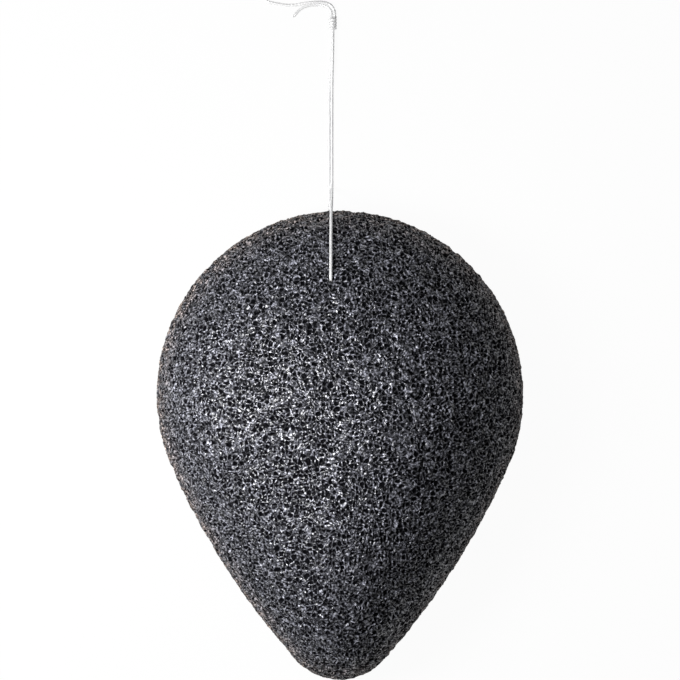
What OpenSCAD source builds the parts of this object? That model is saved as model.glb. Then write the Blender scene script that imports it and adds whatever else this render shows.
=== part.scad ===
// Drop-shaped konjac sponge with its hanging thread, lying on its flat back.
// Millimetres. +Z points out of the dome, the tip points to -Y and the thread runs to +Y.
// The origin is under the middle of the foam, on the plane of its flat back.

/* [Foam] */
// Width across the round end
foam_w = 80; // [70:0.5:90]
// Length from the round end to the tip
foam_l = 102.3; // [96:0.1:116]
// Thickness from the flat back to the crown of the dome
foam_t = 38; // [28:0.5:46]
// Radius of the rounded tip
tip_r = 12.7; // [9:0.1:16]
// Radius of the two long flanks
flank_r = 160; // [130:1:220]
// Distance of the dome's crown from the round end's edge
crown_from_top = 47.8; // [40:0.1:56]
// Height of the widest line above the flat back
rim_h = 6; // [4:0.5:10]
// How far the rounded rim tucks in to the flat back, across the round end
rim_tuck = 5; // [3:0.5:8]

/* [Thread] */
// Diameter of the twisted thread
thread_d = 0.6; // [0.4:0.05:0.6]
// Clearance round the thread in its hole and its groove
thread_clear = 0.1; // [0.05:0.05:0.3]
// Distance of the thread hole from the round end's edge
hole_from_top = 16.15; // [14:0.05:18]
// Sideways place of the thread hole
hole_x = -1.9; // [-2.4:0.1:-1.4]
// Radius of the bend in which the thread leaves its hole at either end
bend_r = 1.25; // [1:0.05:1.6]
// How deep under the dome's surface the middle of the front bend lies
bend_sink = 0.95; // [0.7:0.05:1.2]

/* [Knot] */
// Length of the knot along the thread
knot_l = 3.1; // [2.4:0.1:3.4]
// Outer diameter of the knot
knot_d = 1.7; // [1.6:0.1:2]
// Turns of thread that show on the knot
knot_turns = 4; // [3:1:5]

/* [Hidden] */

foam_colour = [0.2, 0.2, 0.21];
thread_colour = [0.93, 0.93, 0.92];

// Steps round the outline's arcs and up the dome
end_arc_steps = 24;
flank_arc_steps = 4;
tip_arc_steps = 8;
rim_steps = 4;
dome_steps = 11;
// Sides of the thread's tube, turned so that a flat side faces a neighbour
thread_sides = 8;
half_side = 180 / thread_sides;
bore_fn = 48;
knot_fn = 32;
// One overrun serves every cut
cut_over = 0.5;

thread_r = thread_d / 2;
hole_r = thread_r + thread_clear;
top_r = foam_w / 2;
top_y = foam_l / 2 - top_r;
tip_y = tip_r - foam_l / 2;
crown_y = foam_l / 2 - crown_from_top;
hole_y = foam_l / 2 - hole_from_top;
bend_y = hole_y + bend_r;
// How far the front bend turns before it is clear of the dome, and the back one
front_turn = 120;
back_turn = 90;
back_bend_z = thread_r + bend_r;
front_bend_z = dome_z(bend_y) - bend_sink;

// Each flank is an arc that touches the round end's arc and the tip's arc from outside
to_top = flank_r - top_r;
to_tip = flank_r - tip_r;
flank_y = (to_tip * to_tip - to_top * to_top) / (2 * (top_y - tip_y)) + (top_y + tip_y) / 2;
flank_x = sqrt(to_top * to_top - pow(flank_y - top_y, 2));
flank_start = atan2(top_y - flank_y, flank_x);
flank_end = atan2(tip_y - flank_y, flank_x);

// The thread's routes, in millimetres, chosen by hand. Both strands of the loop lie side by side.
// Out of the hole in a tight bend, over the dome, off its rim and down to the surface
front_route = [
    [-1.9, 35, 27.8], [-1.9, 35, 28.7], [-1.9, 35.6, 29.4], [-1.9, 36.5, 29.55],
    [-1.9, 37.7, 28.95], [-1.9, 41.2, 26.3], [-1.9, 45, 22.6], [-1.9, 48.4, 17.9],
    [-1.9, 50.4, 13.8], [-1.8, 54.4, 4.4], [-1.8, 55.9, 1.2], [-1.8, 57.4, 0.3],
    [-1.8, 59.65, 0.3]
];
// Out of the hole at the back, along the groove and on beyond the rim
back_route = [
    [-1.9, 35, 2.05], [-1.9, 35, 1.05], [-1.9, 35.7, 0.3], [-1.9, 36.8, 0.3],
    [-1.9, 48, 0.3], [-2.4, 54, 0.3], [-2.4, 59.65, 0.3]
];
// From the bend beside the rim to the knot, where the front strand lies on the back one
loop_front_route = [
    [-1.8, 60.35, 0.3], [-1.8, 77, 0.3], [-1.75, 82, 0.8], [-1.6, 87, 1.1], [-1.6, 91.6, 1.1]
];
loop_back_route = [
    [-2.4, 60.35, 0.3], [-2.4, 78, 0.3], [-2.3, 82, 0.3], [-1.6, 87, 0.45], [-1.6, 91.6, 0.45]
];
knot_start = loop_front_route[len(loop_front_route) - 1];
// The two ends beyond the knot
short_tail_route = [
    [-1.9, 94.7, 0.6], [-1.9, 96, 0.6], [-3.2, 97.3, 0.3], [-6.2, 97.4, 0.3],
    [-8.8, 96.6, 0.3], [-10.2, 94.9, 0.3]
];
long_tail_route = [
    [-1.2, 94.7, 0.6], [-1.2, 96.2, 0.6], [-2.6, 97.9, 0.7], [-6.5, 97.9, 0.95],
    [-10.8, 97.1, 0.3], [-14.6, 97.7, 0.3], [-16.8, 98.2, 0.3], [-16.9, 101, 0.3]
];

// Points of an arc from one angle to another, without its last point
function arc(centre, r, from, to, steps) = [
    for (i = [0 : steps - 1])
        let (a = from + (to - from) * i / steps) centre + r * [cos(a), sin(a)]
];

// The drop's outline, right half from the round end's top to the tip, then the left half back up
right_half = concat(
    arc([0, top_y], top_r, 90, flank_start, end_arc_steps),
    arc([-flank_x, flank_y], flank_r, flank_start, flank_end, flank_arc_steps),
    arc([0, tip_y], tip_r, flank_end, -90, tip_arc_steps)
);
tip_point = [0, -foam_l / 2];
outline = concat(
    right_half,
    [tip_point],
    [for (i = [len(right_half) - 1 : -1 : 1]) [-right_half[i][0], right_half[i][1]]]
);

// Height of the dome on its middle line, from the crown to the round end's edge
function dome_z(y) =
    let (reach = (y - crown_y) / crown_from_top)
    rim_h + (foam_t - rim_h) * sqrt(1 - reach * reach);

// The outline drawn in toward the crown by a scale, at a height
function ring(scale, z) = [
    for (p = outline) [p[0] * scale, crown_y + (p[1] - crown_y) * scale, z]
];

// Scale and height of each ring, from below the flat back, round the rim and up the dome
back_scale = (top_r - rim_tuck) / top_r;
levels = concat(
    [[back_scale, -cut_over]],
    [
        for (i = [0 : rim_steps])
            let (a = 90 * i / rim_steps)
            [back_scale + (1 - back_scale) * sin(a), rim_h * (1 - cos(a))]
    ],
    [
        for (i = [1 : dome_steps - 1])
            let (a = 90 * i / dome_steps) [cos(a), rim_h + (foam_t - rim_h) * sin(a)]
    ]
);

// A closed skin over rings of equal length, with a flat first cap and a point or a flat last cap
module skin(rings, peak) {
    n = len(rings[0]);
    last = len(rings) - 1;
    points = concat([for (r = rings) each r], is_undef(peak) ? [] : [peak]);
    walls = [
        for (i = [0 : last - 1], j = [0 : n - 1])
            let (a = i * n + j, b = i * n + (j + 1) % n)
            each [[a, a + n, b], [b, a + n, b + n]]
    ];
    first_cap = [[for (j = [0 : n - 1]) j]];
    last_cap = is_undef(peak)
        ? [[for (j = [n - 1 : -1 : 0]) last * n + j]]
        : [for (j = [0 : n - 1]) [last * n + j, last * n + n, last * n + (j + 1) % n]];
    polyhedron(points = points, faces = concat(first_cap, walls, last_cap), convexity = 4);
}

function unit(v) = v / norm(v);

// A route's corners rounded: a smooth curve through the middle of each leg
function rounded(route) = concat(
    [route[0]],
    [
        for (i = [1 : len(route) - 2])
            let (
                into = (route[i - 1] + route[i]) / 2,
                out = (route[i] + route[i + 1]) / 2
            )
            each [into, (into + 2 * route[i] + out) / 4]
    ],
    [(route[len(route) - 2] + route[len(route) - 1]) / 2, route[len(route) - 1]]
);

function heading(path, i) =
    unit(path[min(i + 1, len(path) - 1)] - path[max(i - 1, 0)]);

// A ring of the tube, square to the path. side is a direction that the path never takes.
function thread_ring(at, along, side) =
    let (across = unit(cross(along, side)), up = cross(across, along))
    [
        for (k = [0 : thread_sides - 1])
            let (a = 360 * k / thread_sides + half_side)
            at + thread_r * (cos(a) * across + sin(a) * up)
    ];

module thread_along(route, side) {
    path = rounded(route);
    skin([for (i = [0 : len(path) - 1]) thread_ring(path[i], heading(path, i), side)]);
}

// A bend of the thread's tunnel, from straight up the hole towards the round end's edge
module tunnel_bend(turn, centre_z, upward) {
    translate([hole_x, bend_y, centre_z])
        rotate([upward ? 90 : -90, 0, -90])
            rotate_extrude(angle = turn, $fn = bore_fn)
                translate([bend_r, 0])
                    circle(r = hole_r, $fn = bore_fn);
}

module thread_hole() {
    translate([hole_x, hole_y, back_bend_z])
        cylinder(r = hole_r, h = front_bend_z - back_bend_z, $fn = bore_fn);
    tunnel_bend(front_turn, front_bend_z, true);
    tunnel_bend(back_turn, back_bend_z, false);
}

// The thread presses a groove into the flat back, from the hole to the rim
module thread_groove() {
    translate([hole_x - hole_r, hole_y - hole_r, -cut_over])
        cube([2 * hole_r, hole_from_top + hole_r + cut_over, cut_over + thread_r]);
    translate([hole_x, bend_y, thread_r])
        rotate([-90, 0, 0])
            cylinder(r = hole_r, h = hole_from_top - bend_r + cut_over, $fn = bore_fn);
}

module above_back() {
    translate([-foam_w, -foam_l, 0])
        cube([2 * foam_w, 2 * foam_l, foam_t + cut_over]);
}

// The moulded foam: a flat back, a rounded rim and a tall dome
module sponge_body() {
    color(foam_colour)
        difference() {
            intersection() {
                skin([for (l = levels) ring(l[0], l[1])], [0, crown_y, foam_t]);
                above_back();
            }
            thread_hole();
            thread_groove();
        }
}

// The stretch of thread inside the hole, between the strands of the front and the back
module thread_core() {
    low = back_route[0][2];
    color(thread_colour)
        translate([hole_x, hole_y, low])
            cylinder(d = thread_d, h = front_route[0][2] - low, $fn = bore_fn);
}

module front_strand() {
    color(thread_colour)
        thread_along(front_route, [1, 0, 0]);
}

module back_strand() {
    color(thread_colour)
        thread_along(back_route, [1, 0, 0]);
}

module loop_front_strand() {
    color(thread_colour)
        thread_along(loop_front_route, [1, 0, 0]);
}

module loop_back_strand() {
    color(thread_colour)
        thread_along(loop_back_route, [1, 0, 0]);
}

// The knot: turns of thread drawn tight round a core
module knot() {
    turn_pitch = knot_l / knot_turns;
    turn_r = min(thread_r, turn_pitch / 2);
    turn_at = knot_d / 2 - turn_r;
    core_r = turn_at + turn_r / 2;
    color(thread_colour)
        translate([knot_start[0], knot_start[1], knot_d / 2])
            rotate([-90, 0, 0])
                rotate_extrude($fn = bore_fn) {
                    square([core_r, knot_l]);
                    for (i = [0 : knot_turns - 1])
                        translate([turn_at, (i + 0.5) * turn_pitch])
                            circle(r = turn_r, $fn = knot_fn);
                }
}

module short_tail() {
    color(thread_colour)
        thread_along(short_tail_route, [0, 0, 1]);
}

module long_tail() {
    color(thread_colour)
        thread_along(long_tail_route, [0, 0, 1]);
}

sponge_body();
thread_core();
front_strand();
back_strand();
loop_front_strand();
loop_back_strand();
knot();
short_tail();
long_tail();
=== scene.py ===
# Drop-shaped konjac sponge: the looks of the moulded foam and of its hanging thread. Metres.
import math

import bpy
import numpy as np
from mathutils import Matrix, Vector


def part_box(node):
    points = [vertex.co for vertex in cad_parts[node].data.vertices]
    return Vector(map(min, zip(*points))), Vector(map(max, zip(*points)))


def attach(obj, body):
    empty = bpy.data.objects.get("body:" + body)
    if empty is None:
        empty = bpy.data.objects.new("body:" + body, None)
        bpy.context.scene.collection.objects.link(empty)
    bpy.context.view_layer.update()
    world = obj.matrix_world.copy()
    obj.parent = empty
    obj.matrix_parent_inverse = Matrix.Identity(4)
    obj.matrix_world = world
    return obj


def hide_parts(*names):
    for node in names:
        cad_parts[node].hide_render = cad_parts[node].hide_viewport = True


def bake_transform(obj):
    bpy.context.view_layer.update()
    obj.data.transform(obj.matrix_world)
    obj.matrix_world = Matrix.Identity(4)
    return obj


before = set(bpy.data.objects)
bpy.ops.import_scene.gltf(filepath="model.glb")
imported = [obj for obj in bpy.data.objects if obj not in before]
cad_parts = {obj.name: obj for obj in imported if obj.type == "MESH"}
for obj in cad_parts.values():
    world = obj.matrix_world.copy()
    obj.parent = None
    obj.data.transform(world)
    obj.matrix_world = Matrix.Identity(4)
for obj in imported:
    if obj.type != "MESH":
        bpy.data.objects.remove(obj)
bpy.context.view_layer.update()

MM = 0.001
TURN = 2 * math.pi

# Sizes of the foam, as its solid has them
foam_low, foam_high = (np.array(corner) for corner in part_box("sponge_body"))
FOAM_W, _, FOAM_T = foam_high - foam_low
TIP_R = 12.7 * MM
FLANK_R = 160 * MM
CROWN_FROM_TOP = 47.8 * MM
RIM_H = 6 * MM
RIM_TUCK = 5 * MM
TOP_R = FOAM_W / 2
TOP_Y = foam_high[1] - TOP_R
TIP_Y = foam_low[1] + TIP_R
CROWN_Y = foam_high[1] - CROWN_FROM_TOP

# Size of the thread
THREAD_D = 0.6 * MM
THREAD_R = THREAD_D / 2

# The thread's routes, as the solids follow them, in millimetres
FRONT_ROUTE = [
    [-1.9, 35, 27.8], [-1.9, 35, 28.7], [-1.9, 35.6, 29.4], [-1.9, 36.5, 29.55],
    [-1.9, 37.7, 28.95], [-1.9, 41.2, 26.3], [-1.9, 45, 22.6], [-1.9, 48.4, 17.9],
    [-1.9, 50.4, 13.8], [-1.8, 54.4, 4.4], [-1.8, 55.9, 1.2], [-1.8, 57.4, 0.3],
    [-1.8, 59.65, 0.3],
]
BACK_ROUTE = [
    [-1.9, 35, 2.05], [-1.9, 35, 1.05], [-1.9, 35.7, 0.3], [-1.9, 36.8, 0.3],
    [-1.9, 48, 0.3], [-2.4, 54, 0.3], [-2.4, 59.65, 0.3],
]
LOOP_FRONT_ROUTE = [
    [-1.8, 60.35, 0.3], [-1.8, 77, 0.3], [-1.75, 82, 0.8], [-1.6, 87, 1.1], [-1.6, 91.6, 1.1],
]
LOOP_BACK_ROUTE = [
    [-2.4, 60.35, 0.3], [-2.4, 78, 0.3], [-2.3, 82, 0.3], [-1.6, 87, 0.45], [-1.6, 91.6, 0.45],
]
SHORT_TAIL_ROUTE = [
    [-1.9, 94.7, 0.6], [-1.9, 96, 0.6], [-3.2, 97.3, 0.3], [-6.2, 97.4, 0.3],
    [-8.8, 96.6, 0.3], [-10.2, 94.9, 0.3],
]
LONG_TAIL_ROUTE = [
    [-1.2, 94.7, 0.6], [-1.2, 96.2, 0.6], [-2.6, 97.9, 0.7], [-6.5, 97.9, 0.95],
    [-10.8, 97.1, 0.3], [-14.6, 97.7, 0.3], [-16.8, 98.2, 0.3], [-16.9, 101, 0.3],
]
CORE_ROUTE = [[-1.9, 35, 2.05], [-1.9, 35, 27.8]]


# Camera, straight above, as the photograph looks
CAMERA_LENS = 100
CAMERA_SENSOR = 36
CAMERA_Y = 22.95 * MM
CAMERA_Z = 419.8 * MM
CAMERA_NEAR = 0.01
CAMERA_FAR = 20


def make_camera():
    data = bpy.data.cameras.new("camera")
    data.lens = CAMERA_LENS
    data.sensor_width = CAMERA_SENSOR
    data.clip_start = CAMERA_NEAR
    data.clip_end = CAMERA_FAR
    camera = bpy.data.objects.new("camera", data)
    camera.location = (0, CAMERA_Y, CAMERA_Z)
    bpy.context.scene.collection.objects.link(camera)
    bpy.context.scene.camera = camera


make_camera()


# Mesh helpers
def mesh_piece(name, points, faces, material):
    """A smooth-shaded mesh object from points and faces of equal length."""
    faces = np.asarray(faces, np.int32)
    mesh = bpy.data.meshes.new(name)
    mesh.vertices.add(len(points))
    mesh.vertices.foreach_set("co", np.asarray(points, np.float32).ravel())
    mesh.loops.add(faces.size)
    mesh.loops.foreach_set("vertex_index", faces.ravel())
    mesh.polygons.add(len(faces))
    sides = faces.shape[1]
    mesh.polygons.foreach_set("loop_start", np.arange(0, faces.size, sides, dtype=np.int32))
    mesh.update(calc_edges=True)
    mesh.validate()
    mesh.shade_smooth()
    mesh.materials.append(material)
    piece = bpy.data.objects.new(name, mesh)
    bpy.context.scene.collection.objects.link(piece)
    return piece


def joined(parts):
    """The points and faces of several parts as those of one."""
    points, faces, start = [], [], 0
    for part_points, part_faces in parts:
        points.append(part_points)
        faces.append(part_faces + start)
        start += len(part_points)
    return np.concatenate(points), np.concatenate(faces)


def unit(v):
    """A direction, or an array of them, at length 1."""
    return v / np.linalg.norm(v, axis=-1, keepdims=True)


# Paths. CURVE_STEPS is the number of points in a curve round one corner of a route. Points closer
# than the share SAME_PLACE of a step count as one. A path that starts steeper than UPRIGHT takes
# its first direction across from the X axis, and any other from the Z axis.
CURVE_STEPS = 24
SAME_PLACE = 0.01
UPRIGHT = 0.9


def rounded(route):
    """A smooth curve through the middle of each leg of a route, in metres."""
    route = np.array(route, float) * MM
    middles = (route[:-1] + route[1:]) / 2
    points = [route[0]]
    for before, corner, after in zip(middles[:-1], route[1:-1], middles[1:]):
        for t in np.arange(CURVE_STEPS) / CURVE_STEPS:
            points.append((1 - t) ** 2 * before + 2 * t * (1 - t) * corner + t * t * after)
    points += [middles[-1], route[-1]]
    return np.array(points)


def evenly(points, step):
    """The same line with points an equal step apart."""
    along = np.concatenate([[0], np.cumsum(np.linalg.norm(np.diff(points, axis=0), axis=1))])
    keep = np.concatenate([[True], np.diff(along) > step * SAME_PLACE])
    count = max(2, round(along[-1] / step) + 1)
    at = np.linspace(0, along[-1], count)
    return np.stack([np.interp(at, along[keep], points[keep, k]) for k in range(3)], axis=1)


def frames_along(path):
    """Two directions across the path at each point, turning as little as can be."""
    heading = unit(np.gradient(path, axis=0))
    axis = (0.0, 0.0, 1.0) if abs(heading[0][2]) < UPRIGHT else (1.0, 0.0, 0.0)
    across = [unit(np.cross(heading[0], axis))]
    for tangent in heading[1:]:
        last = across[-1]
        across.append(unit(last - tangent * np.dot(last, tangent)))
    across = np.array(across)
    return across, np.cross(heading, across)


def tube(path, angle, radius):
    """Points and triangles of a closed tube, with an angle and a radius for each ring and side."""
    across, up = frames_along(path)
    rings, sides = radius.shape
    ring = across[:, None] * np.cos(angle)[..., None] + up[:, None] * np.sin(angle)[..., None]
    points = (path[:, None] + ring * radius[..., None]).reshape(-1, 3)
    first = np.arange(rings - 1)[:, None] * sides
    k = np.arange(sides)
    after = (k + 1) % sides
    corners = [first + k, first + after, first + sides + after, first + sides + k]
    walls = np.stack(corners, axis=-1).reshape(-1, 4)
    last = (rings - 1) * sides
    hub = np.full(sides, len(points))
    start_cap = np.stack([after, k, hub], axis=1)
    end_cap = np.stack([last + k, last + after, hub + 1], axis=1)
    points = np.concatenate([points, path[:1], path[-1:]])
    return points, np.concatenate([walls[:, [0, 1, 2]], walls[:, [0, 2, 3]], start_cap, end_cap])


# The thread's twist: its plies and the points round each, a ply's distance from the middle and its
# radius as shares of the thread's radius, the step between rings and the length of one full turn
PLIES = 3
PLY_SIDES = 7
PLY_AT = 0.2
PLY_R = 0.92
THREAD_STEP = 0.14 * MM
THREAD_LAY = 2.3 * MM


def ply_section():
    """The outline of round plies side by side: angles, and shares of the thread's radius."""
    count = PLIES * PLY_SIDES
    angle = np.arange(count) * TURN / count
    off = (angle + math.pi / PLIES) % (TURN / PLIES) - math.pi / PLIES
    return angle, PLY_AT * np.cos(off) + np.sqrt(PLY_R**2 - (PLY_AT * np.sin(off)) ** 2)


def twisted(path, start_turn):
    """A thread of plies twisted round each other, with the turn at which its twist starts."""
    section, share = ply_section()
    step = np.linalg.norm(path[1] - path[0])
    turn = start_turn + np.arange(len(path)) * step / THREAD_LAY * TURN
    radius = np.repeat(share[None, :] * THREAD_R, len(path), axis=0)
    return tube(path, section[None, :] + turn[:, None], radius)


# A frayed end: how far its fibres reach, the share that the shortest reach, where they start inside
# the thread as a share of their length, how far they spread at the tip, the share of that at the
# root, the power by which they curve, their rise or fall, and their radius from root to tip
FRAY_FIBRES = PLIES + 2
FRAY_L = 0.45 * MM
FRAY_SHORTEST = 0.55
FRAY_ROOT = -0.35
FRAY_SPREAD = 0.16 * MM
FRAY_ROOT_SPREAD = 0.25
FRAY_CURVE = 1.5
FRAY_RISE = 0.06 * MM
FRAY_ROOT_R = 0.11 * MM
FRAY_TIP_R = 0.03 * MM
FRAY_STEPS = 9
FRAY_SIDES = 6


def frayed_end(path, seed):
    """The fibres where they come apart beyond the thread's cut end."""
    rng = np.random.default_rng(seed)
    end = path[-1]
    heading = unit(end - path[-4])
    level = unit(np.cross(heading, [0, 0, 1]))
    t = np.linspace(FRAY_ROOT, 1, FRAY_STEPS)[:, None]
    radius = np.repeat(np.linspace(FRAY_ROOT_R, FRAY_TIP_R, FRAY_STEPS)[:, None], FRAY_SIDES, axis=1)
    angle = np.tile(np.arange(FRAY_SIDES) * TURN / FRAY_SIDES, (FRAY_STEPS, 1))
    parts = []
    for side in np.linspace(-1, 1, FRAY_FIBRES):
        reach = heading * FRAY_L * rng.uniform(FRAY_SHORTEST, 1.0)
        spread = side * np.clip(t, 0, 1) ** FRAY_CURVE + side * FRAY_ROOT_SPREAD
        line = end + reach * t + level * FRAY_SPREAD * spread
        line[:, 2] += FRAY_RISE * rng.uniform(-1, 1)
        parts.append(tube(line, angle, radius))
    return parts


# Node helpers
def empty_tree(holder):
    """The node tree of a material or world, with nothing in it."""
    holder.use_nodes = True
    holder.node_tree.nodes.clear()
    return holder.node_tree


def fill(tree, made, inputs):
    """Sets a node's inputs to plain numbers, colours or words, or links them to sockets."""
    for name, value in inputs.items():
        socket = made.inputs[name]
        if isinstance(value, bpy.types.NodeSocket):
            tree.links.new(value, socket)
        elif socket.type == "RGBA":
            socket.default_value = (*value, 1)
        else:
            socket.default_value = value


def node(tree, kind, inputs=None, **settings):
    """A new node with its settings, and with its inputs filled."""
    made = tree.nodes.new(kind)
    for name, value in settings.items():
        setattr(made, name, value)
    fill(tree, made, inputs or {})
    return made


def new_material(name):
    """A material with one shader, its node tree and that shader."""
    material = bpy.data.materials.new(name)
    tree = empty_tree(material)
    shader = node(tree, "ShaderNodeBsdfPrincipled")
    node(tree, "ShaderNodeOutputMaterial", {"Surface": shader.outputs["BSDF"]})
    return material, tree, shader


def ramp(tree, source, stops):
    """A colour ramp on a source, from (place, colour) stops."""
    made = node(tree, "ShaderNodeValToRGB", {"Fac": source})
    elements = made.color_ramp.elements
    while len(elements) < len(stops):
        elements.new(0.5)
    for element, (place, colour) in zip(elements, stops):
        element.position = place
        element.color = (*colour, 1)
    return made.outputs["Color"]


def grey_ramp(tree, source, stops):
    """A ramp of greys on a source, from (place, brightness) stops."""
    return ramp(tree, source, [(place, [grey] * 3) for place, grey in stops])


def mixed(tree, factor, first, second, blend_type="MIX"):
    """Two colours mixed by a factor. Each is a socket or a plain value."""
    inputs = {0: factor, 6: first, 7: second}
    made = node(tree, "ShaderNodeMix", inputs, data_type="RGBA", blend_type=blend_type)
    return made.outputs[2]


def sums(tree, operation, first, second):
    """What an operation makes of two numbers. Each is a socket or a plain number."""
    return node(tree, "ShaderNodeMath", {0: first, 1: second}, operation=operation).outputs[0]


def product(tree, first, second):
    return sums(tree, "MULTIPLY", first, second)


def noise(tree, place, size, detail):
    """Noise that changes over a size, with a number of finer layers."""
    inputs = {"Vector": place, "Scale": 1 / size, "Detail": detail}
    return node(tree, "ShaderNodeTexNoise", inputs).outputs["Fac"]


def cells(tree, place, size, feature):
    """A node that tells how far a place is inside a cell of the foam, or which cell holds it."""
    return node(tree, "ShaderNodeTexVoronoi", {"Vector": place, "Scale": 1 / size}, feature=feature)


def smooth_step(tree, value, limits):
    """A smooth rise from 0 to 1 between two limits."""
    inputs = {"Value": value, "From Min": limits[0], "From Max": limits[1]}
    made = node(tree, "ShaderNodeMapRange", inputs, interpolation_type="SMOOTHSTEP")
    return made.outputs["Result"]


def bumped(tree, height, strength, distance):
    """The normal of a surface that a height raises by up to a distance."""
    inputs = {"Strength": strength, "Distance": distance, "Height": height}
    return node(tree, "ShaderNodeBump", inputs).outputs["Normal"]


def mixed_shaders(tree, factor, first, second):
    """Two shaders mixed by a factor."""
    return node(tree, "ShaderNodeMixShader", {"Fac": factor, 1: first, 2: second}).outputs["Shader"]


# Sizes of the foam's cells, and where a cell's wall ends and its pit begins, as shares of the cell
CELL = 0.97 * MM
SMALL_CELL = 0.5 * MM
PIT_SHARES = (0.10, 0.18)
SMALL_PIT_SHARES = (0.10, 0.30)
# Each cell draws a number from 0 to 1. Its pit is faint below the first of these, full above the last
PIT_DRAW = (0.05, 0.33)
LEAST_PIT = 0.1
PIT_FULL = 0.97
# Colours of the walls and of the painted shade in the pits, and the warm tint that lightens the walls
# near the rim
WALL_COLOUR = (0.0815, 0.083, 0.0985)
PIT_SHADE_COLOUR = (0.003, 0.003, 0.004)
RIM_TINT = (1.9, 1.38, 0.9)
# Noise on the foam, by its size and its number of finer layers
MOTTLE = (0.42 * MM, 4)
CLUMPS = (1.5 * MM, 2)
GRAIN = (0.7 * MM, 1)
# How bright the walls are at values of the mottle, whose top stops are painted glints, of the clumps,
# and of a small pit's depth as painted shade
WALL_TONES_AND_PAINTED_GLINTS = [(0.42, 0.25), (0.5, 1.0), (0.6, 2.8), (0.68, 6.0)]
CLUMP_SHADES = [(0.3, 0.4), (0.5, 0.95), (0.7, 1.9)]
SMALL_PIT_PAINTED_SHADES = [(0.0, 1.0), (1.0, 0.15)]
# Values of the clumps between which the rim's warm tint sets in, and of the mottle for the glints
RIM_TINT_FROM = (0.35, 0.6)
GLINT_FROM = (0.47, 0.58)
# The foam's roughness at values of the pits' shade, the shine of its walls, the glints, and the share
# of the glints taken away near the rim
ROUGHNESS_SHADES = [(0.0, 0.6), (0.3, 1.0)]
WALL_SHINE = 0.17
GLINT_ROUGHNESS = 0.32
GLINT_IOR = 2.15
RIM_MATTE = 0.65
# How far the bumps of the grain and the pits reach
BUMP_STRENGTH = 1.0
GRAIN_BUMP = 0.4 * MM
PIT_BUMP = 0.12 * MM


def pit_painted_shade(tree, place):
    """How dark the painted shade of the foam's pits makes a place, from 0 on a wall to nearly 1 in a
    full pit.
    """
    edge = cells(tree, place, CELL, "DISTANCE_TO_EDGE").outputs["Distance"]
    which = cells(tree, place, CELL, "F1").outputs["Color"]
    drawn = node(tree, "ShaderNodeSeparateColor", {"Color": which}).outputs["Red"]
    strength = grey_ramp(tree, drawn, [(PIT_DRAW[0], LEAST_PIT), (PIT_DRAW[1], 1.0)])
    return product(tree, product(tree, smooth_step(tree, edge, PIT_SHARES), strength), PIT_FULL)


def foam_colour(tree, place, rim, dark, mottle):
    """Mottled walls with painted glints, in lighter and darker clumps, with a warm lighter tint near
    the rim and painted shade in the pits and small pits.
    """
    small_edge = cells(tree, place, SMALL_CELL, "DISTANCE_TO_EDGE").outputs["Distance"]
    small_pit = smooth_step(tree, small_edge, SMALL_PIT_SHARES)
    clumps = noise(tree, place, *CLUMPS)
    # The mottle varies the walls' tone at random, and its brightest stops paint glints on them
    wall = ramp(tree, mottle, [(at, [c * share for c in WALL_COLOUR]) for at, share in WALL_TONES_AND_PAINTED_GLINTS])
    # Small pits darken the walls: painted shade
    wall = mixed(tree, 1.0, wall, grey_ramp(tree, small_pit, SMALL_PIT_PAINTED_SHADES), "MULTIPLY")
    wall = mixed(tree, 1.0, wall, grey_ramp(tree, clumps, CLUMP_SHADES), "MULTIPLY")
    tinted_wall = mixed(tree, 1.0, wall, RIM_TINT, "MULTIPLY")
    rim_tinted = product(tree, rim, smooth_step(tree, clumps, RIM_TINT_FROM))
    # The pits are painted in a near-black shade colour over the walls
    return mixed(tree, dark, mixed(tree, rim_tinted, wall, tinted_wall), PIT_SHADE_COLOUR)


def foam_material():
    material, tree, shader = new_material("charcoal_konjac_foam")
    place = node(tree, "ShaderNodeAttribute", attribute_name="foam_place").outputs["Vector"]
    rim = node(tree, "ShaderNodeAttribute", attribute_name="rim").outputs["Fac"]
    mottle = noise(tree, place, *MOTTLE)
    dark = pit_painted_shade(tree, place)
    # The pits take no shine either, which keeps their painted shade dark
    on_wall = sums(tree, "SUBTRACT", 1.0, dark)
    sunk = product(tree, dark, PIT_BUMP / GRAIN_BUMP)
    height = sums(tree, "SUBTRACT", noise(tree, place, *GRAIN), sunk)
    normal = bumped(tree, height, BUMP_STRENGTH, GRAIN_BUMP)
    glint = product(tree, on_wall, smooth_step(tree, mottle, GLINT_FROM))
    unmatted = sums(tree, "SUBTRACT", 1.0, product(tree, rim, RIM_MATTE))
    fill(tree, shader, {
        "Base Color": foam_colour(tree, place, rim, dark, mottle),
        "Roughness": grey_ramp(tree, dark, ROUGHNESS_SHADES),
        "Specular IOR Level": product(tree, on_wall, WALL_SHINE),
        "Normal": normal,
        "Coat Weight": product(tree, glint, unmatted),
        "Coat Roughness": GLINT_ROUGHNESS,
        "Coat IOR": GLINT_IOR,
        "Coat Normal": normal,
    })
    return material


# The thread's fibres, as noise by size and finer layers, their colours and bumps, and its finish
FIBRES = (0.12 * MM, 3)
FIBRE_COLOURS = [(0.3, (0.95, 0.96, 0.97)), (0.55, (0.99, 0.99, 0.99))]
FIBRE_BUMP_STRENGTH = 0.2
FIBRE_BUMP = 0.03 * MM
THREAD_FINISH = {
    "Roughness": 0.62,
    "Sheen Weight": 0.8,
    "Coat Weight": 1.0,
    "Coat Roughness": 0.25,
    "Coat IOR": 2.4,
    "Subsurface Weight": 1.0,
    "Subsurface Radius": (1, 1, 1),
    "Subsurface Scale": 0.3 * MM,
}


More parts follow.
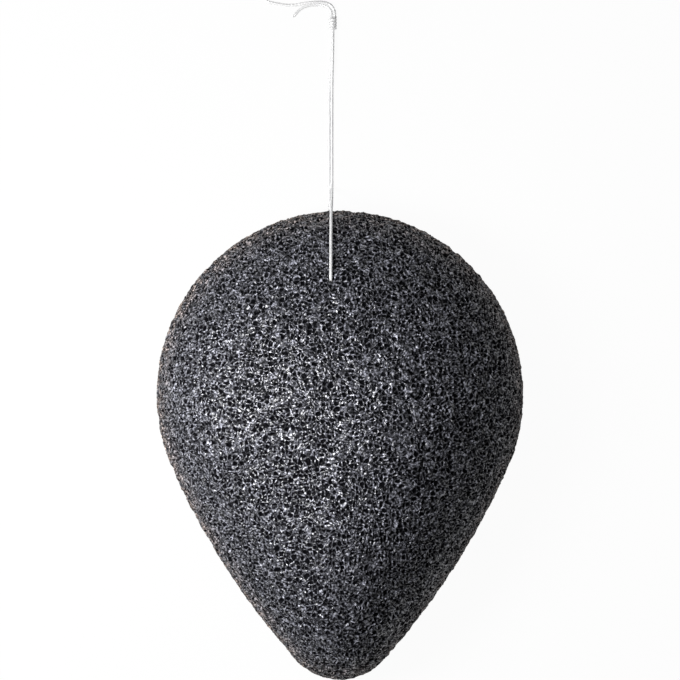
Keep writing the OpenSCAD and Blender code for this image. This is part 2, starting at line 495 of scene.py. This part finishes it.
def thread_material():
    material, tree, shader = new_material("white_twisted_thread")
    place = node(tree, "ShaderNodeTexCoord").outputs["Object"]
    fibres = noise(tree, place, *FIBRES)
    fill(tree, shader, {
        "Base Color": ramp(tree, fibres, FIBRE_COLOURS),
        "Normal": bumped(tree, fibres, FIBRE_BUMP_STRENGTH, FIBRE_BUMP),
        **THREAD_FINISH,
    })
    return material


FOAM = foam_material()
THREAD = thread_material()

# The turn, in radians, at which each strand's twist starts, and the seed of its frayed end
FRONT_START_TURN = 0.4
FRONT_SEED = 11
BACK_START_TURN = 2.1
BACK_SEED = 12


def thread_piece(name, points, faces):
    """A piece of thread that lies on the floor without sinking in."""
    points[:, 2] = np.maximum(points[:, 2], 0)
    return mesh_piece(name, points, faces, THREAD)


def strand(name, routes, start_turn, seed):
    """A strand from the foam through the knot to a frayed end, and the path that it follows."""
    path = evenly(np.concatenate([rounded(route) for route in routes]), THREAD_STEP)
    return thread_piece(name, *joined([twisted(path, start_turn)] + frayed_end(path, seed))), path


front_routes = [FRONT_ROUTE, LOOP_FRONT_ROUTE, SHORT_TAIL_ROUTE]
back_routes = [BACK_ROUTE, LOOP_BACK_ROUTE, LONG_TAIL_ROUTE]
front_thread, front_path = strand("front_thread", front_routes, FRONT_START_TURN, FRONT_SEED)
back_thread, back_path = strand("back_thread", back_routes, BACK_START_TURN, BACK_SEED)
inner_path = evenly(np.array(CORE_ROUTE) * MM, THREAD_STEP)
inner_thread = thread_piece("inner_thread", *twisted(inner_path, 0.0))

# The knot: wraps of thread drawn tight round the two strands, each leaning along them by KNOT_LEAN
KNOT_START = np.array([-1.6, 91.6, 0.85]) * MM
KNOT_D = 1.7 * MM
KNOT_L = 3.1 * MM
KNOT_TURNS = 4
KNOT_STEP = 0.08 * MM
KNOT_LEAN = 0.16 * MM


def knot_piece():
    """The wraps, as one thread in a tight helix."""
    wrap_r = KNOT_D / 2 - THREAD_R
    t = np.linspace(0, 1, round(KNOT_TURNS * TURN * wrap_r / KNOT_STEP))
    angle = t * KNOT_TURNS * TURN
    along = THREAD_R + t * (KNOT_L - THREAD_D) + KNOT_LEAN * np.cos(angle)
    line = np.stack([wrap_r * np.cos(angle), along, wrap_r * np.sin(angle)], axis=1)
    return thread_piece("knot_wraps", *twisted(evenly(KNOT_START + line, KNOT_STEP), 0.0))


knot = knot_piece()

# Each thread piece stands in for parts of the solid, which are hidden; the knot and the inner thread
# ride on their bodies
for piece, path, nodes in (
    (front_thread, front_path, ("front_strand", "loop_front_strand", "short_tail")),
    (back_thread, back_path, ("back_strand", "loop_back_strand", "long_tail")),
):
    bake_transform(piece)
    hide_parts(*nodes)
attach(knot, "hanging_loop")
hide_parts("knot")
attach(inner_thread, "sponge")
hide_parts("thread_core")


# The foam's outline: where the flank's arc touches the arcs of the top and the tip
TO_TOP = FLANK_R - TOP_R
TO_TIP = FLANK_R - TIP_R
FLANK_Y = (TO_TIP**2 - TO_TOP**2) / (2 * (TOP_Y - TIP_Y)) + (TOP_Y + TIP_Y) / 2
FLANK_X = math.sqrt(TO_TOP**2 - (FLANK_Y - TOP_Y) ** 2)
FLANK_START = math.atan2(TOP_Y - FLANK_Y, FLANK_X)
FLANK_END = math.atan2(TIP_Y - FLANK_Y, FLANK_X)


def outline_at(share):
    """Points of the drop's outline at shares of its length, counter-clockwise from the top."""
    top_l = TOP_R * (math.pi / 2 - FLANK_START)
    flank_l = FLANK_R * (FLANK_START - FLANK_END)
    tip_l = TIP_R * (FLANK_END + math.pi / 2)
    left = share <= 0.5
    along = np.where(left, share, 1 - share) * 2 * (top_l + flank_l + tip_l)
    x = y = np.zeros(len(share))
    for end, radius, middle_x, middle_y, angle in (
        (math.inf, TIP_R, 0, TIP_Y, FLANK_END - (along - top_l - flank_l) / TIP_R),
        (top_l + flank_l, FLANK_R, -FLANK_X, FLANK_Y, FLANK_START - (along - top_l) / FLANK_R),
        (top_l, TOP_R, 0, TOP_Y, math.pi / 2 - along / TOP_R),
    ):
        x = np.where(along < end, middle_x + radius * np.cos(angle), x)
        y = np.where(along < end, middle_y + radius * np.sin(angle), y)
    return np.where(left, -x, x), y


# The foam's profile: the back's size as a share of the outline's, and the points of a quarter turn
BACK_SCALE = (TOP_R - RIM_TUCK) / TOP_R
PROFILE_STEPS = 400


def profile():
    """Distances along the foam's side from the crown to the back, with its scale and height."""
    dome = np.linspace(math.pi / 2, 0, PROFILE_STEPS)
    rim = dome[1:]
    scale = np.concatenate([np.cos(dome), BACK_SCALE + (1 - BACK_SCALE) * np.sin(rim)])
    dome_height = RIM_H + (FOAM_T - RIM_H) * np.sin(dome)
    height = np.concatenate([dome_height, RIM_H * (1 - np.cos(rim))])
    steps = np.hypot(np.diff(scale * TOP_R), np.diff(height))
    return np.concatenate([[0], np.cumsum(steps)]), scale, height


# The foam's mesh: a square grid that reaches HALF rings out from the crown, SIDE_RINGS rings more
# down the side, and the same grid for the back. LOOP is the number of points in a ring of the side,
# and TOP_SHARE the share round a ring at which the top of the drop lies.
HALF = 150
SIDE_RINGS = 124
LAST_RING = HALF + SIDE_RINGS
LOOP = 8 * HALF
TOP_SHARE = 0.375
# The foam's flat map: the back's size against the front's, the gap between them, and the share
# that stays free along each edge of the map
BACK_MAP = 0.56
MAP_GAP = 1 * MM
MAP_EDGE = 0.005


def grid_places():
    """Ring number and share round the ring of each point of the square grid."""
    side = np.arange(-HALF, HALF + 1)
    i, j = np.meshgrid(side, side, indexing="ij")
    k = np.maximum(abs(i), abs(j))
    place = np.where((i == -k) & (j > -k), 5 * k - j, 7 * k + i)
    place = np.where((j == k) & (i > -k), 3 * k - i, place)
    place = np.where((i == k) & (j < k), j + k, place)
    return k.ravel(), (place / np.maximum(8 * k, 1)).ravel()


def grid_faces():
    """The four corners of each face of the square grid."""
    side = 2 * HALF + 1
    at = np.arange(side * side).reshape(side, side)
    return np.stack([at[:-1, :-1], at[1:, :-1], at[1:, 1:], at[:-1, 1:]], axis=-1).reshape(-1, 4)


def grid_edge():
    """The outer ring's points of the square grid, in the order of their shares."""
    k, share = grid_places()
    outer = np.flatnonzero(k == HALF)
    return outer[np.argsort(share[outer])]


def foam_rings():
    """Ring number, counted from the crown, and share round the ring of each of the foam's points."""
    k, share = grid_places()
    side_rings = np.repeat(HALF + 1.0 + np.arange(SIDE_RINGS - 1), LOOP)
    side_shares = np.tile(np.arange(LOOP) / LOOP, SIDE_RINGS - 1)
    ring = np.concatenate([k, side_rings, HALF + LAST_RING - k])
    return ring, np.concatenate([share, side_shares, share])


def foam_faces():
    """Faces of the front and the side, and faces of the back."""
    grid = grid_faces()
    edge = grid_edge()
    side_start = (2 * HALF + 1) ** 2
    back_start = side_start + LOOP * (SIDE_RINGS - 1)
    loops = [side_start + LOOP * ring + np.arange(LOOP) for ring in range(SIDE_RINGS - 1)]
    loops = [edge, *loops, back_start + edge]
    walls = [
        np.stack([upper, lower, np.roll(lower, -1), np.roll(upper, -1)], axis=1)
        for upper, lower in zip(loops[:-1], loops[1:])
    ]
    return np.concatenate([grid, *walls]), back_start + grid[:, ::-1]


def flat_map(outline, front_size, back_size, front, back):
    """A flat place for each corner of a face, with the map of the back beside that of the front."""
    beside = np.array([MAP_GAP + FOAM_W * (1 + BACK_MAP) / 2, 0])
    front_map = (outline * front_size[:, None])[front]
    back_map = (outline * (back_size * BACK_MAP)[:, None])[back] + beside
    flat = np.concatenate([front_map, back_map]).reshape(-1, 2)
    low, high = flat.min(axis=0), flat.max(axis=0)
    return MAP_EDGE + (flat - low) / (high - low) * (1 - 2 * MAP_EDGE)


def smooth_foam():
    """The foam without its pores: the outline drawn in toward the crown and the back's middle."""
    ring, share = foam_rings()
    along, scale, height = profile()
    spacing = along[-1] / LAST_RING
    at = np.minimum(ring, LAST_RING) * spacing
    back_size = np.clip((HALF + LAST_RING - ring) / HALF, 0, 1)
    size = np.where(ring > LAST_RING, BACK_SCALE * back_size, np.interp(at, along, scale))
    x, y = outline_at((share - TOP_SHARE) % 1)
    points = np.stack([x * size, CROWN_Y + (y - CROWN_Y) * size, np.interp(at, along, height)], axis=1)
    front, back = foam_faces()
    outline = np.stack([x, y - CROWN_Y], axis=1)
    flat = flat_map(outline, np.minimum(ring, LAST_RING) / LAST_RING, back_size, front, back)
    return points, np.concatenate([front, back]), flat


# The dome's broad unevenness: each swell's middle, its spread across and along, and its height
SWELLS = [
    (-7 * MM, -3 * MM, 14 * MM, 13 * MM, -1.3 * MM),
    (17 * MM, -15 * MM, 15 * MM, 30 * MM, 1.5 * MM),
]


def swelled(points):
    """The foam's points with the dome's swells, which fade away toward the rim."""
    share = np.clip((points[:, 2] - RIM_H) / (FOAM_T - RIM_H), 0, 1)
    fade = share**2 * (2 - share**2)
    rise = np.zeros(len(points))
    for x, y, across, along, height in SWELLS:
        off_x = (points[:, 0] - x) / across
        off_y = (points[:, 1] - y) / along
        rise += height * np.exp(-(off_x**2) - off_y**2)
    return points + (rise * fade)[:, None] * np.array([0, 0, 1])


def smooth_noise(points, most, size, seed):
    """Noise up to a most, to either side of 0, that changes over a size."""
    rng = np.random.default_rng(seed)
    low = points.min(axis=0) - size
    place = (points - low) / size
    table = rng.uniform(-1, 1, tuple(np.ceil(place.max(axis=0)).astype(int) + 2))
    base = np.floor(place).astype(int)
    t = place - base
    t = t * t * (3 - 2 * t)
    total = np.zeros(len(points))
    for corner in np.ndindex(2, 2, 2):
        weight = np.prod(np.where(np.array(corner) == 1, t, 1 - t), axis=1)
        at = base + np.array(corner)
        total += weight * table[at[:, 0], at[:, 1], at[:, 2]]
    return most * total


# The cells' pattern is bent at two sizes, and height counts less in it, so that the cells stand tall
WARP = 0.5 * MM
WARP_SIZE = 3 * MM
WARP_SEED = 20
SMALL_WARP = 0.15 * MM
SMALL_WARP_SIZE = 0.8 * MM
SMALL_WARP_SEED = 30
CELL_SQUASH = 0.72


def cell_places(points):
    """Where each point lies in the pattern of the foam's cells."""
    warp = [
        smooth_noise(points, WARP, WARP_SIZE, WARP_SEED + axis)
        + smooth_noise(points, SMALL_WARP, SMALL_WARP_SIZE, SMALL_WARP_SEED + axis)
        for axis in range(3)
    ]
    return (points + np.stack(warp, axis=1)) * np.array([1, 1, CELL_SQUASH])


def cell_tree():
    """Nodes that store how far a point is inside its cell, which cell, and the same for small cells."""
    tree = bpy.data.node_groups.new("foam_cells", "GeometryNodeTree")
    for way in ("INPUT", "OUTPUT"):
        tree.interface.new_socket("Geometry", in_out=way, socket_type="NodeSocketGeometry")
    inputs = {"Name": "foam_place"}
    read = node(tree, "GeometryNodeInputNamedAttribute", inputs, data_type="FLOAT_VECTOR")
    place = next(socket for socket in read.outputs if socket.enabled and socket.name == "Attribute")
    geometry = node(tree, "NodeGroupInput").outputs[0]
    for name, kind, value in (
        ("edge", "FLOAT", cells(tree, place, CELL, "DISTANCE_TO_EDGE").outputs["Distance"]),
        ("which", "FLOAT_COLOR", cells(tree, place, CELL, "F1").outputs["Color"]),
        ("small", "FLOAT", cells(tree, place, SMALL_CELL, "DISTANCE_TO_EDGE").outputs["Distance"]),
    ):
        inputs = {"Name": name, "Geometry": geometry}
        store = node(tree, "GeometryNodeStoreNamedAttribute", inputs, data_type=kind, domain="POINT")
        taken = next(socket for socket in store.inputs if socket.enabled and socket.name == "Value")
        tree.links.new(value, taken)
        geometry = store.outputs["Geometry"]
    node(tree, "NodeGroupOutput", {0: geometry})
    return tree


def first_numbers(attribute):
    """An attribute's number at each point, or the red of its colour."""
    width, key = (4, "color") if attribute.data_type == "FLOAT_COLOR" else (1, "value")
    read = np.empty(len(attribute.data) * width, np.float32)
    attribute.data.foreach_get(key, read)
    return read.reshape(-1, width)[:, 0].astype(float)


def cell_values(piece):
    """What the cells' nodes store at a piece's points."""
    tree = cell_tree()
    modifier = piece.modifiers.new("foam_cells", "NODES")
    modifier.node_group = tree
    shown = piece.evaluated_get(bpy.context.evaluated_depsgraph_get())
    mesh = shown.to_mesh()
    values = [first_numbers(mesh.attributes[name]) for name in ("edge", "which", "small")]
    shown.to_mesh_clear()
    piece.modifiers.remove(modifier)
    bpy.data.node_groups.remove(tree)
    return values


def step_between(value, limits):
    """A smooth rise from 0 to 1 between two limits, as smooth_step makes it."""
    t = np.clip((value - limits[0]) / (limits[1] - limits[0]), 0, 1)
    return t * t * (3 - 2 * t)


# How deep the pits, the small pits and the walls' relief go, and how far the lumps move the surface.
# The relief is noise of two sizes, the finer one with a smaller share.
PIT_MOST = 0.32 * MM
SMALL_PIT_MOST = 0.12 * MM
RELIEF_MOST = 0.09 * MM
RELIEF_SIZE = 0.7 * MM
RELIEF_SEED = 5
FINE_RELIEF = 0.6
FINE_RELIEF_SIZE = 0.35 * MM
FINE_RELIEF_SEED = 6
LUMP = 0.26 * MM
LUMP_SIZE = 1.1 * MM
LUMP_SEED = 7


def surface_depth(piece, points):
    """How far each point lies below the smooth shape, through the cells, the relief and the lumps."""
    edge, which, small = cell_values(piece)
    dark = step_between(edge, PIT_SHARES) * np.interp(which, PIT_DRAW, (LEAST_PIT, 1))
    depth = PIT_MOST * dark + SMALL_PIT_MOST * step_between(small, SMALL_PIT_SHARES)
    relief = smooth_noise(points, 1, RELIEF_SIZE, RELIEF_SEED)
    relief += smooth_noise(points, FINE_RELIEF, FINE_RELIEF_SIZE, FINE_RELIEF_SEED)
    depth += RELIEF_MOST * (0.5 - 0.5 * np.clip(relief, -1, 1))
    return depth + smooth_noise(points, LUMP, LUMP_SIZE, LUMP_SEED)


# What the thread has worn in the foam: a groove in the back and a mouth in the dome. Each is carved
# by balls along the thread's route: how many corners of the route they follow, the step between
# balls and their radius. The mouth has MOUTH_BALLS of them.
GROOVE_CORNERS = 5
GROOVE_STEP = 0.2 * MM
GROOVE_R = 0.45 * MM
MOUTH_CORNERS = 4
MOUTH_STEP = 0.25 * MM
MOUTH_R = 1.5 * GROOVE_R
MOUTH_BALLS = 12


def carve(points, normals, centre, radius, depth):
    """The depth below each point, made to reach through a ball that holds the point."""
    away = points - centre
    out = np.einsum("ij,ij->i", away, normals)
    reach = radius * radius - np.einsum("ij,ij->i", away, away)
    far = out + np.sqrt(np.maximum(reach + out * out, 0))
    return np.where(reach > 0, np.maximum(depth, far), depth)


def thread_dents(points, normals, depth):
    """The depths with the thread's mouth and groove carved in."""
    mouth = evenly(rounded(FRONT_ROUTE[:MOUTH_CORNERS]), MOUTH_STEP)[:MOUTH_BALLS]
    groove = evenly(rounded(BACK_ROUTE[:GROOVE_CORNERS]), GROOVE_STEP)
    for centres, radius in ((mouth, MOUTH_R), (groove, GROOVE_R)):
        for centre in centres:
            near = np.flatnonzero(np.abs(points - centre).max(axis=1) < 2 * radius)
            depth[near] = carve(points[near], normals[near], centre, radius, depth[near])
    return depth


# The warm tint near the rim is strongest at the rim's height and gone at this one
RIM_TINT_TOP = 21 * MM


def rim_tint_share(points):
    """How much of the rim's warm tint each point takes, from 0 to 1."""
    height = points[:, 2]
    return np.clip((RIM_TINT_TOP - height) / (RIM_TINT_TOP - RIM_H), 0, 1) * np.clip(height / RIM_H, 0, 1)


def point_normals(mesh):
    """The direction in which the mesh faces at each point."""
    normals = np.empty(len(mesh.vertices) * 3, np.float32)
    mesh.vertex_normals.foreach_get("vector", normals)
    return normals.reshape(-1, 3).astype(float)


def keep_at_points(mesh, name, kind, key, values):
    """Stores a value at each point of a mesh, for nodes to read."""
    data = mesh.attributes.new(name, kind, "POINT").data
    data.foreach_set(key, values.astype(np.float32).ravel())


def foam_piece():
    """The foam: its smooth shape with the swells, pressed in by pits, relief, lumps and the thread."""
    points, faces, flat = smooth_foam()
    points = swelled(points)
    piece = mesh_piece("foam", points, faces, FOAM)
    mesh = piece.data
    mesh.uv_layers.new(name="OFBake").data.foreach_set("uv", flat.astype(np.float32).ravel())
    normals = point_normals(mesh)
    keep_at_points(mesh, "foam_place", "FLOAT_VECTOR", "vector", cell_places(points))
    depth = thread_dents(points, normals, surface_depth(piece, points))
    moved = points - normals * depth[:, None]
    moved[:, 2] = np.maximum(moved[:, 2], 0)
    mesh.vertices.foreach_set("co", moved.astype(np.float32).ravel())
    keep_at_points(mesh, "rim", "FLOAT", "value", rim_tint_share(points))
    mesh.update()
    return piece


foam = foam_piece()
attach(foam, "sponge")
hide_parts("sponge_body")


# Floor, backdrop and light. The camera sees the floor as white glow, by the share FLOOR_GLOW, over
# pale paint that keeps the shadow. Reflections show the share FLOOR_IN_GLOSS of that glow.
WHITE = (1, 1, 1)
FLOOR_PAINT = (0.8, 0.8, 0.8)
FLOOR_GLOW = 0.96
FLOOR_IN_GLOSS = 0.47
FLOOR_HALF = 3.0
SKY_COLOUR = (0.97, 0.98, 1)
SKY_LIGHT = 0.125
# Each lamp's place, its width and its power in watts, and the place at which both aim
KEY_LAMP = ((-0.131, 0.007, 0.175), 0.09, 0.515)
TOP_LAMP = ((-0.08, 0.1, 0.2), 0.09, 0.088)
LAMP_AIM = (-0.005, 0.003, 0.02)


def stage_material():
    material = bpy.data.materials.new("pale_floor")
    tree = empty_tree(material)
    paint = node(tree, "ShaderNodeBsdfDiffuse", {"Color": FLOOR_PAINT}).outputs["BSDF"]
    glow = node(tree, "ShaderNodeEmission", {"Color": WHITE, "Strength": 1}).outputs["Emission"]
    rays = node(tree, "ShaderNodeLightPath").outputs
    mirrored = product(tree, rays["Is Glossy Ray"], FLOOR_IN_GLOSS)
    seen = sums(tree, "MAXIMUM", rays["Is Camera Ray"], mirrored)
    seen = sums(tree, "MAXIMUM", seen, rays["Is Transmission Ray"])
    surface = mixed_shaders(tree, product(tree, seen, FLOOR_GLOW), paint, glow)
    node(tree, "ShaderNodeOutputMaterial", {"Surface": surface})
    return material


def make_floor():
    corners = np.array([[-1, -1, 0], [1, -1, 0], [1, 1, 0], [-1, 1, 0]]) * FLOOR_HALF
    mesh_piece("floor", corners, [[0, 1, 2, 3]], stage_material())


def make_world():
    """A faint sky that lights the object, and that the camera sees as white."""
    world = bpy.data.worlds.new("world")
    tree = empty_tree(world)
    light = node(tree, "ShaderNodeBackground", {"Color": SKY_COLOUR, "Strength": SKY_LIGHT})
    seen = node(tree, "ShaderNodeBackground", {"Color": WHITE, "Strength": 1})
    to_camera = node(tree, "ShaderNodeLightPath").outputs["Is Camera Ray"]
    surface = mixed_shaders(tree, to_camera, light.outputs[0], seen.outputs[0])
    node(tree, "ShaderNodeOutputWorld", {"Surface": surface})
    bpy.context.scene.world = world


def area_lamp(name, place, width, power):
    """A round lamp at a place, turned toward the object."""
    data = bpy.data.lights.new(name, "AREA")
    data.shape = "DISK"
    data.size = width
    data.energy = power
    lamp = bpy.data.objects.new(name, data)
    lamp.location = place
    aim = np.array(LAMP_AIM) - np.array(place)
    lamp.rotation_euler = Vector(aim).to_track_quat("-Z", "Y").to_euler()
    bpy.context.scene.collection.objects.link(lamp)


make_floor()
make_world()
area_lamp("key", *KEY_LAMP)
area_lamp("top", *TOP_LAMP)

bpy.context.scene.view_settings.view_transform = "Standard"
